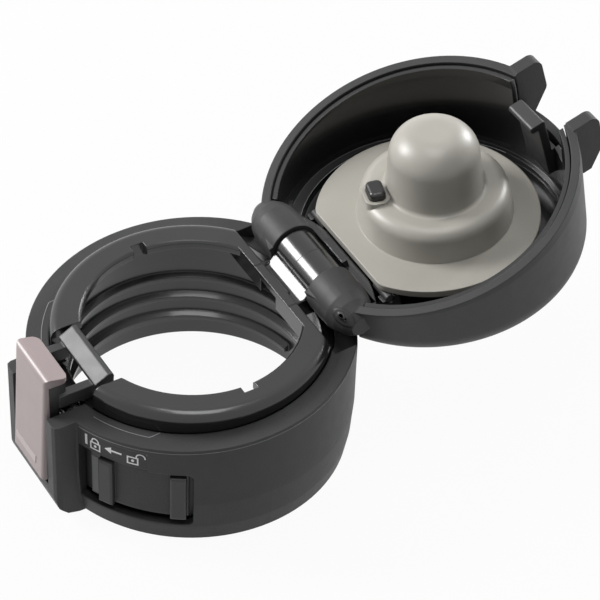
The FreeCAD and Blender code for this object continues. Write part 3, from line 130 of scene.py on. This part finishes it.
CHARCOAL = surface("charcoal", (50, 50, 51), 0.5, grain=0.8, grain_size=0.26, edge=0.4, specular=0.3)
CHARCOAL_SMOOTH = surface("charcoal_smooth", (54, 54, 55), 0.4, grain=0.1, grain_size=0.5, edge=0.3, specular=0.35)
# Lighter charcoal for the slider's smooth left end: painted sheen where that end catches the light.
CHARCOAL_PAINTED_SHEEN = surface("charcoal_painted_sheen", (92, 92, 93), 0.36, grain=0.05, grain_size=0.6, edge=0.3)
CHARCOAL_COARSE = surface("charcoal_coarse", (52, 52, 53), 0.5, grain=1.0, grain_size=0.42, specular=0.3)
GLOSS = surface("gloss_black", (26, 26, 27), 0.24, grain=0.02, grain_size=3.0, edge=0.4, coat=0.3)
GLOSS_SOFT = surface("gloss_soft", (44, 44, 45), 0.42, grain=0.03, grain_size=2.0, edge=0.5)
TAUPE = surface("taupe", (146, 133, 133), 0.36, spread=0.03, grain=0.03, grain_size=1.2, edge=0.3)
TAUPE_PALE = surface("taupe_pale", (164, 152, 152), 0.3, spread=0.03, grain=0.03, grain_size=1.2)
SILICONE = surface("silicone", (156, 153, 145), 0.4, spread=0.03, grain=0.05, grain_size=1.0, edge=0.4,
                   specular=0.6, sheen=0.1, subsurface=0.05)
VALVE = surface("valve_rubber", (30, 30, 30), 0.3, grain=0.05, grain_size=1.0, edge=0.3)
CORE = surface("core_plastic", (70, 70, 70), 0.5, grain=0.1, grain_size=0.6)
STEEL = surface("pin_steel", (200, 200, 203), 0.28, spread=0.04, grain=0.08, grain_size=0.2)
STEEL.node_tree.nodes["Principled BSDF"].inputs["Metallic"].default_value = 1.0
WHITE = surface("mark_white", (236, 236, 236), 0.5, spread=0.02, grain=0.02, grain_size=0.5)
# Light grey for thin strips laid along edges: painted highlights where the edges catch the light.
PAINTED_HIGHLIGHT = surface("painted_highlight_line", (132, 132, 134), 0.4, grain=0.02, grain_size=0.5)
# Near black for thin dark strips: painted shade in gaps and recesses, and the dark seam round the barrel.
PAINTED_SHADE_AND_SEAM = surface("painted_shade_and_seam_dark", (14, 14, 15), 0.6, grain=0.02, grain_size=0.5)

LOOKS = {
    "collar_shell": CHARCOAL, "lid_shell": CHARCOAL, "lock_slider": CHARCOAL_SMOOTH,
    "threaded_ring": GLOSS, "lid_liner": GLOSS, "plug_clip": GLOSS,
    "latch_hook": GLOSS_SOFT, "latch_lever": GLOSS_SOFT,
    "button_cover": TAUPE, "plug_seal": SILICONE, "vent_plug": VALVE, "plug_core": CORE,
    "hinge_pin": STEEL, "hinge_spring": STEEL, "latch_pin": STEEL, "latch_spring": STEEL,
}
for node, material in LOOKS.items():
    thing = nodes[node]
    thing.data.materials.clear()
    thing.data.materials.append(material)


def piece(name, corners, faces, body, material, place=None, smooth=True):
    """A mesh in mm, riding on a body."""
    mesh = bpy.data.meshes.new(name)
    mesh.from_pydata([tuple(c) for c in corners], [], faces)
    if place:
        mesh.transform(place)
    mesh.transform(Matrix.Scale(MM, 4))
    mesh.validate()
    mesh.update()
    for face in mesh.polygons:
        face.use_smooth = smooth
    mesh.materials.append(material)
    made = bpy.data.objects.new(name, mesh)
    bpy.context.scene.collection.objects.link(made)
    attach(made, body)


def swept(stations, closed=False):
    """Corners and faces of a tube through stations, each a closed ring of points."""
    count = len(stations[0])
    corners = [point for station in stations for point in station]
    faces = []
    last = len(stations) if closed else len(stations) - 1
    for k in range(last):
        near, far = k * count, (k + 1) % len(stations) * count
        for n in range(count):
            m = (n + 1) % count
            faces.append((near + n, near + m, far + m, far + n))
    if not closed:
        faces.append(tuple(reversed(range(count))))
        faces.append(tuple(range(len(corners) - count, len(corners))))
    return corners, faces


def on_drum(radius, angle, z):
    """A point round the Z axis; the angle is in degrees from +X towards +Y."""
    a = math.radians(angle)
    return (radius * math.cos(a), radius * math.sin(a), z)


def joined(meshes):
    """Several corner and face lists as one."""
    corners, faces = [], []
    for some, those in meshes:
        start = len(corners)
        corners += some
        faces += [tuple(start + n for n in face) for face in those]
    return corners, faces


# Label beside the button
LABEL_MIDDLE = -57.05
MARK_Z = 21.8
LOCK_Z = 21.1


def on_label(s, z, depth):
    """A point on the label: s in mm to the right of its middle, seen from outside."""
    return on_drum(depth, LABEL_MIDDLE + math.degrees(s / LABEL_RADIUS), z)


def mark(points, thick=0.05):
    """A flat outline laid on the label, counterclockwise."""
    corners = [on_label(s, z, depth) for depth in (LABEL_RADIUS - 0.02, LABEL_RADIUS + thick) for s, z in points]
    count = len(points)
    faces = [tuple(range(count, 2 * count)), tuple(reversed(range(count)))]
    for n in range(count):
        m = (n + 1) % count
        faces.append((n, m, count + m, count + n))
    return corners, faces


def stroke(points, width, closed=False, thick=0.05):
    """A line of a width along points on the label, with mitred corners."""
    count = len(points)
    sides = []
    for k in range(count):
        before = points[(k - 1) % count] if closed or k else None
        after = points[(k + 1) % count] if closed or k < count - 1 else None
        here = points[k]
        ways = []
        for a, b in ((before, here), (here, after)):
            if a is not None and b is not None:
                size = math.hypot(b[0] - a[0], b[1] - a[1])
                ways.append(((b[0] - a[0]) / size, (b[1] - a[1]) / size))
        ax, az = ways[0]
        bx, bz = ways[-1]
        nx, nz = -(az + bz), ax + bx
        size = math.hypot(nx, nz)
        nx, nz = nx / size, nz / size
        reach = width / 2 / max(0.35, nz * bx - nx * bz)
        sides.append(((here[0] + nx * reach, here[1] + nz * reach), (here[0] - nx * reach, here[1] - nz * reach)))
    made = []
    for k in range(count if closed else count - 1):
        a, b = sides[k], sides[(k + 1) % count]
        made.append(mark([a[1], b[1], b[0], a[0]], thick))
    return joined(made)


def arc(cx, cz, radius, start, end, steps=12):
    """Points round a centre on the label, between two angles in degrees."""
    return [(cx + radius * math.cos(math.radians(start + (end - start) * k / steps)),
             cz + radius * math.sin(math.radians(start + (end - start) * k / steps))) for k in range(steps + 1)]


def padlock(at, shackle):
    """A padlock's body with a dot for its keyhole, and its shackle."""
    low, high = LOCK_Z - 0.95, LOCK_Z + 0.75
    return [stroke([(at - 1.05, low), (at + 1.05, low), (at + 1.05, high), (at - 1.05, high)], 0.3, closed=True),
            mark(arc(at, LOCK_Z - 0.1, 0.32, 0, 330, 11)), stroke(shackle, 0.28)]


CLOSED_LOCK = -3.6
OPEN_LOCK = 4.6
TOP = LOCK_Z + 0.75
BAR_LEFT, BAR_RIGHT, BAR_HALF = -6.05, -5.5, 1.35
HEAD_HALF = 0.85
marks = [mark([(BAR_LEFT, MARK_Z - BAR_HALF), (BAR_RIGHT, MARK_Z - BAR_HALF),
               (BAR_RIGHT, MARK_Z + BAR_HALF), (BAR_LEFT, MARK_Z + BAR_HALF)])]
marks += padlock(CLOSED_LOCK, [(CLOSED_LOCK - 0.75, TOP)] + arc(CLOSED_LOCK, TOP + 0.45, 0.75, 180, 0)
                 + [(CLOSED_LOCK + 0.75, TOP)])
marks.append(stroke([(-0.1, MARK_Z), (2.3, MARK_Z)], 0.42))
marks.append(mark([(-1.4, MARK_Z), (0.05, MARK_Z - HEAD_HALF), (0.05, MARK_Z + HEAD_HALF)]))
marks += padlock(OPEN_LOCK, [(OPEN_LOCK + 0.75, TOP)] + arc(OPEN_LOCK + 1.65, TOP + 0.35, 0.9, 180, -10))
corners, faces = joined(marks)
piece("label_marks", corners, faces, "base", WHITE, smooth=False)

# Painted highlight: a light line along the label's top edge, where the edge catches the light.
EDGE_STEPS = 24
EDGE_LEFT, EDGE_LENGTH, EDGE_Z = -6.4, 13.9, 23.7
edge_highlight_path = [(EDGE_LEFT + EDGE_LENGTH * k / EDGE_STEPS, EDGE_Z) for k in range(EDGE_STEPS + 1)] + [(7.5, 23.1)]
corners, faces = stroke(edge_highlight_path, 0.12, thick=0.03)
piece("label_edge_painted_highlight", corners, faces, "base", PAINTED_HIGHLIGHT, smooth=False)


# Thin lines laid on surfaces
def ribbon(points, ups, width, rise=0.03, sink=0.06, closed=False):
    """A thin strip along points on a surface whose outward directions are given."""
    points = [Vector(p) for p in points]
    stations = []
    for k, point in enumerate(points):
        before = points[k - 1] if closed or k else point
        after = points[(k + 1) % len(points)] if closed or k < len(points) - 1 else point
        up = Vector(ups[k] if isinstance(ups, list) else ups).normalized()
        side = (after - before).normalized().cross(up).normalized() * width / 2
        stations.append([tuple(point - side - up * sink), tuple(point - side + up * rise),
                         tuple(point + side + up * rise), tuple(point + side - up * sink)])
    return swept(stations, closed)


def part_height(y):
    """Height of the parting plane."""
    return PART_HEIGHT + y * math.tan(PART_ANGLE)


# The painted highlight on the deck runs at a slowly growing radius, and turns inwards over the last of its length.
DECK_START, DECK_END = -68.0, -41.0
DECK_STEPS = 40
DECK_RADIUS = 29.85
DECK_GROWTH = 0.25
DECK_TURN = 0.88
DECK_TURN_DEPTH = 1.6
deck_lines = []
for side in (-1, 1):
    path = []
    for k in range(DECK_STEPS + 1):
        share = k / DECK_STEPS
        radius = DECK_RADIUS + DECK_GROWTH * share - DECK_TURN_DEPTH * max(0.0, share - DECK_TURN) / 0.12
        x, y, _ = on_drum(radius, DECK_START + (DECK_END - DECK_START) * share, 0)
        path.append((side * x, y, part_height(y)))
    deck_lines.append(ribbon(path, (0, 0, 1), 0.13))
corners, faces = joined(deck_lines)
piece("deck_painted_highlight", corners, faces, "base", PAINTED_HIGHLIGHT, smooth=False)

# Painted highlight: a light line just below the collar's top edge, where its chamfer catches the light.
RIM_START, RIM_END = -70.0, 50.0
RIM_STEPS = 60
RIM_DROP = 0.75
rim_lines = []
for side in (1, -1):
    points, ups = [], []
    for k in range(RIM_STEPS + 1):
        angle = RIM_START + (RIM_END - RIM_START) * k / RIM_STEPS
        # The line stands proud of the wall, but not past the collar's widest point.
        lift = min(0.03, COLLAR_RADIUS / math.cos(math.radians(angle)) - COLLAR_RADIUS)
        x, y, _ = on_drum(COLLAR_RADIUS + lift, angle, 0)
        points.append((side * x, y, part_height(y) - RIM_DROP))
        ups.append((side * x, y, 0))
    rim_lines.append(ribbon(points, ups, 0.1, rise=0.0, sink=0.1))
corners, faces = joined(rim_lines)
piece("collar_rim_painted_highlight", corners, faces, "base", PAINTED_HIGHLIGHT, smooth=False)


# Slider: coarse panel between its ribs, and a smoother end on its left, painted lighter as a painted sheen
def drum_panel(radius, start, end, low, high, thick, steps):
    """A thin curved plate on a drum, between two angles and two heights."""
    stations = []
    for k in range(steps + 1):
        angle = start + (end - start) * k / steps
        stations.append([on_drum(radius - 0.02, angle, low), on_drum(radius + thick, angle, low),
                         on_drum(radius + thick, angle, high), on_drum(radius - 0.02, angle, high)])
    return swept(stations)


corners, faces = drum_panel(GRIP_RADIUS, -55.9, -36.5, 7.4, 18.4, 0.05, 24)
piece("slider_grain", corners, faces, "lock", CHARCOAL_COARSE, smooth=False)
# Smooth left end, its lighter colour a painted sheen.
corners, faces = drum_panel(GRIP_RADIUS, -66.2, -62.3, 7.1, 17.3, 0.03, 8)
piece("slider_end_smooth_painted_sheen", corners, faces, "lock", CHARCOAL_PAINTED_SHEEN, smooth=False)


# Plain raised strip of the button
def front_y(z):
    """The button's front face."""
    slope = (z - BUTTON_LOW) * (BUTTON_FRONT_HIGH - BUTTON_FRONT_LOW) / (BUTTON_HIGH - BUTTON_LOW)
    return -(BUTTON_FRONT_LOW + slope)


def button_plate(low_x, high_x, low_z, high_z, proud):
    """A plate on the button's front face."""
    corners = []
    for depth in (0.05, -proud):
        for x, z in ((low_x, low_z), (high_x, low_z), (high_x, high_z), (low_x, high_z)):
            corners.append((x, front_y(z) + depth, z))
    faces = [(4, 5, 6, 7), (3, 2, 1, 0), (0, 1, 5, 4), (1, 2, 6, 5), (2, 3, 7, 6), (3, 0, 4, 7)]
    return corners, faces


corners, faces = button_plate(-5.2, 3.4, BUTTON_LOW + 2.4, BUTTON_LOW + 4.2, 0.1)
piece("button_strip", corners, faces, "latch", TAUPE_PALE, smooth=False)


# Bracket between the bore and the barrel: painted shade in its side gaps, and the ridge across it
BRACKET_HALF = 6.78
BRACKET_BACK = 22.8
# Dark strips on the ring's top beside the bracket: painted shade where the gaps fall dark.
gaps = []
for side in (-BRACKET_HALF, BRACKET_HALF):
    path = [(side, LIP_CHORD + 0.05, RING_TOP), (side, BRACKET_BACK, RING_TOP)]
    gaps.append(ribbon(path, (0, 0, 1), 0.42, rise=0.02))
corners, faces = joined(gaps)
piece("bracket_gap_painted_shade", corners, faces, "base", PAINTED_SHADE_AND_SEAM, smooth=False)
RIDGE_Y, RIDGE_Z = 20.1, 30.0
RIDGE_HALF, RIDGE_HEIGHT = 0.5, 0.6
ridge = []
for x, share in ((-4.8, 0.25), (-4.5, 1.0), (3.0, 1.0), (3.3, 0.25)):
    ridge.append([(x, RIDGE_Y + RIDGE_HALF * math.cos(math.radians(a)),
                   RIDGE_Z + RIDGE_HEIGHT * share * math.sin(math.radians(a))) for a in range(0, 181, 20)])
corners, faces = swept(ridge)
piece("bracket_ridge", corners, faces, "base", GLOSS_SOFT)

# Painted highlight along the edge of the liner's ledge
FLOOR_HEIGHT = 43.0
LEDGE_RADIUS = 26.6
FLOOR_SLOPE = math.radians(13.5)
LEDGE_DROP = 1.8
LEDGE_STEPS = 48
edges = []
for start, end in ((108.0, 246.0), (-66.0, 72.0)):
    points = []
    for k in range(LEDGE_STEPS + 1):
        x, y, _ = on_drum(LEDGE_RADIUS + 0.08, start + (end - start) * k / LEDGE_STEPS, 0)
        points.append((x, y, FLOOR_HEIGHT - LEDGE_DROP - y * math.tan(FLOOR_SLOPE)))
    edges.append(ribbon(points, (0, -math.sin(FLOOR_SLOPE), -math.cos(FLOOR_SLOPE)), 0.14))
corners, faces = joined(edges)
piece("liner_edge_painted_highlight", corners, faces, "lid", PAINTED_HIGHLIGHT, place=LID_OPENED, smooth=False)


# Painted shade for the moulded recess in the right knuckle: a dark oval, with its round hole inside in smooth
# charcoal
def laid_on(node, centre, facing, across, wide, tall, rise, rings=4, count=28):
    """An oval skin over a node's surface, with its middle, its outward direction and its long way in mm."""
    thing = nodes[node]
    facing = Vector(facing).normalized()
    u = (Vector(across) - facing * facing.dot(Vector(across))).normalized()
    v = facing.cross(u)
    corners = []
    for ring in range(rings + 1):
        share = min(ring + 1, rings) / rings
        for n in range(count):
            a = 2 * math.pi * n / count
            point = Vector(centre) + u * (wide * share * math.cos(a)) + v * (tall * share * math.sin(a))
            _, place, normal, _ = thing.closest_point_on_mesh(point * MM)
            corners.append(place / MM + normal * (rise if ring < rings else -0.08))
    faces = [tuple(range(count))]
    for ring in range(rings):
        for n in range(count):
            m = (n + 1) % count
            faces.append((ring * count + n, ring * count + m, (ring + 1) * count + m, (ring + 1) * count + n))
    faces.append(tuple(reversed(range(rings * count, (rings + 1) * count))))
    return corners, [tuple(reversed(face)) for face in faces]


RECESS_FACING = (0.5, -0.72, 0.45)
RECESS_ACROSS = (0.7, 0.6, -0.4)
# The dark oval is painted shade in the recess.
corners, faces = laid_on("lid_shell", (17.7, 24.2, 33.7), RECESS_FACING, RECESS_ACROSS, 2.9, 1.6, 0.03)
piece("knuckle_recess_painted_shade", corners, faces, "lid", PAINTED_SHADE_AND_SEAM)
corners, faces = laid_on("lid_shell", (17.2, 23.9, 34.0), RECESS_FACING, RECESS_ACROSS, 1.0, 0.75, 0.06, rings=2)
piece("knuckle_recess_hole", corners, faces, "lid", CHARCOAL_SMOOTH)


# Barrel seam
SEAM_HALF = 0.06
SEAM_INNER, SEAM_OUTER = BARREL_RADIUS - 0.05, BARREL_RADIUS + 0.015
SEAM_STEPS = 72
seam = []
for k in range(SEAM_STEPS):
    a = 2 * math.pi * k / SEAM_STEPS
    section = ((-SEAM_HALF, SEAM_INNER), (-SEAM_HALF, SEAM_OUTER), (SEAM_HALF, SEAM_OUTER), (SEAM_HALF, SEAM_INNER))
    seam.append([(x, HINGE.y + r * math.cos(a), HINGE.z + r * math.sin(a)) for x, r in section])
corners, faces = swept(seam, closed=True)
piece("barrel_seam", corners, faces, "base", PAINTED_SHADE_AND_SEAM, smooth=False)

# Floor and light
FLOOR_REACH = 3.0
FLOOR_DROP = 0.0002
FLOOR_GREY = 0.5
FLOOR_SHARE = 0.95
WORLD_LIGHT = 0.21
LIT_MIDDLE = (0.0, 0.025, 0.025)


def seen_directly(tree):
    """1 for camera, glossy and transmission rays."""
    path = tree.nodes.new("ShaderNodeLightPath")
    first = tree.nodes.new("ShaderNodeMath")
    first.operation = "MAXIMUM"
    tree.links.new(path.outputs["Is Camera Ray"], first.inputs[0])
    tree.links.new(path.outputs["Is Glossy Ray"], first.inputs[1])
    second = tree.nodes.new("ShaderNodeMath")
    second.operation = "MAXIMUM"
    tree.links.new(first.outputs[0], second.inputs[0])
    tree.links.new(path.outputs["Is Transmission Ray"], second.inputs[1])
    return second.outputs[0]


def flat_floor():
    """A white floor that keeps the shadow; it lights the object as a grey one."""
    mesh = bpy.data.meshes.new("floor")
    reach = FLOOR_REACH
    corners = [(-reach, -reach, 0), (reach, -reach, 0), (reach, reach, 0), (-reach, reach, 0)]
    mesh.from_pydata(corners, [], [(0, 1, 2, 3)])
    floor = bpy.data.objects.new("floor", mesh)
    bpy.context.scene.collection.objects.link(floor)
    floor.location.z = -FLOOR_DROP
    material = bpy.data.materials.new("floor_white")
    material.use_nodes = True
    tree = material.node_tree
    tree.nodes.clear()
    out = tree.nodes.new("ShaderNodeOutputMaterial")
    mix = tree.nodes.new("ShaderNodeMixShader")
    matte = tree.nodes.new("ShaderNodeBsdfDiffuse")
    matte.inputs["Color"].default_value = (FLOOR_GREY, FLOOR_GREY, FLOOR_GREY, 1)
    glow = tree.nodes.new("ShaderNodeEmission")
    glow.inputs["Color"].default_value = (1, 1, 1, 1)
    glow.inputs["Strength"].default_value = 1.0
    share = tree.nodes.new("ShaderNodeMath")
    share.operation = "MULTIPLY"
    share.inputs[1].default_value = FLOOR_SHARE
    tree.links.new(seen_directly(tree), share.inputs[0])
    tree.links.new(share.outputs[0], mix.inputs[0])
    tree.links.new(matte.outputs[0], mix.inputs[1])
    tree.links.new(glow.outputs[0], mix.inputs[2])
    tree.links.new(mix.outputs[0], out.inputs["Surface"])
    mesh.materials.append(material)


def sky():
    """A world that looks white and lights the object dimly."""
    world = bpy.data.worlds.new("studio")
    bpy.context.scene.world = world
    world.use_nodes = True
    tree = world.node_tree
    tree.nodes.clear()
    out = tree.nodes.new("ShaderNodeOutputWorld")
    mix = tree.nodes.new("ShaderNodeMixShader")
    dim = tree.nodes.new("ShaderNodeBackground")
    dim.inputs["Color"].default_value = (1, 1, 1, 1)
    dim.inputs["Strength"].default_value = WORLD_LIGHT
    white = tree.nodes.new("ShaderNodeBackground")
    white.inputs["Color"].default_value = (1, 1, 1, 1)
    white.inputs["Strength"].default_value = 1.0
    tree.links.new(seen_directly(tree), mix.inputs[0])
    tree.links.new(dim.outputs[0], mix.inputs[1])
    tree.links.new(white.outputs[0], mix.inputs[2])
    tree.links.new(mix.outputs[0], out.inputs["Surface"])


def lamp(name, place, width, height, power):
    """A rectangular lamp that faces the middle of the object."""
    data = bpy.data.lights.new(name, "AREA")
    data.shape = "RECTANGLE"
    data.size = width
    data.size_y = height
    data.energy = power
    made = bpy.data.objects.new(name, data)
    bpy.context.scene.collection.objects.link(made)
    made.location = place
    made.rotation_mode = "QUATERNION"
    made.rotation_quaternion = (Vector(LIT_MIDDLE) - Vector(place)).to_track_quat("-Z", "Y")


flat_floor()
sky()
lamp("lamp_left", (-0.40, -0.36, 0.36), 0.26, 0.26, 5.2)
lamp("lamp_right", (-0.16, 0.62, 0.28), 0.20, 0.24, 3.4)
lamp("lamp_top", (0.05, 0.0, 0.65), 0.22, 0.40, 1.4)

# Camera: its angles in radians, its distance and shifts in mm, and its focal length in pixels
AZIMUTH = -1.01678
ELEVATION = 0.747837
ROLL = -0.0405958
DISTANCE = 583.600
FOCAL = 2847.41
SHIFT_X = -22.2229
SHIFT_Y = -25.4147
PICTURE_WIDTH = 600
SENSOR = 36.0


def photo_camera():
    turn = (Matrix.Rotation(ROLL, 3, "Z") @ Matrix.Rotation(ELEVATION - math.pi / 2, 3, "X")
            @ Matrix.Rotation(AZIMUTH, 3, "Z"))
    back = turn.transposed()
    eye = -(back @ Vector((SHIFT_X, SHIFT_Y, -DISTANCE)))
    data = bpy.data.cameras.new("camera")
    data.sensor_width = SENSOR
    data.sensor_fit = "HORIZONTAL"
    data.lens = FOCAL / PICTURE_WIDTH * SENSOR
    data.clip_start = 0.05
    data.clip_end = 20.0
    made = bpy.data.objects.new("camera", data)
    bpy.context.scene.collection.objects.link(made)
    made.matrix_world = Matrix.Translation(eye * MM) @ back.to_4x4()
    bpy.context.scene.camera = made


photo_camera()
bpy.context.scene.view_settings.view_transform = "Standard"
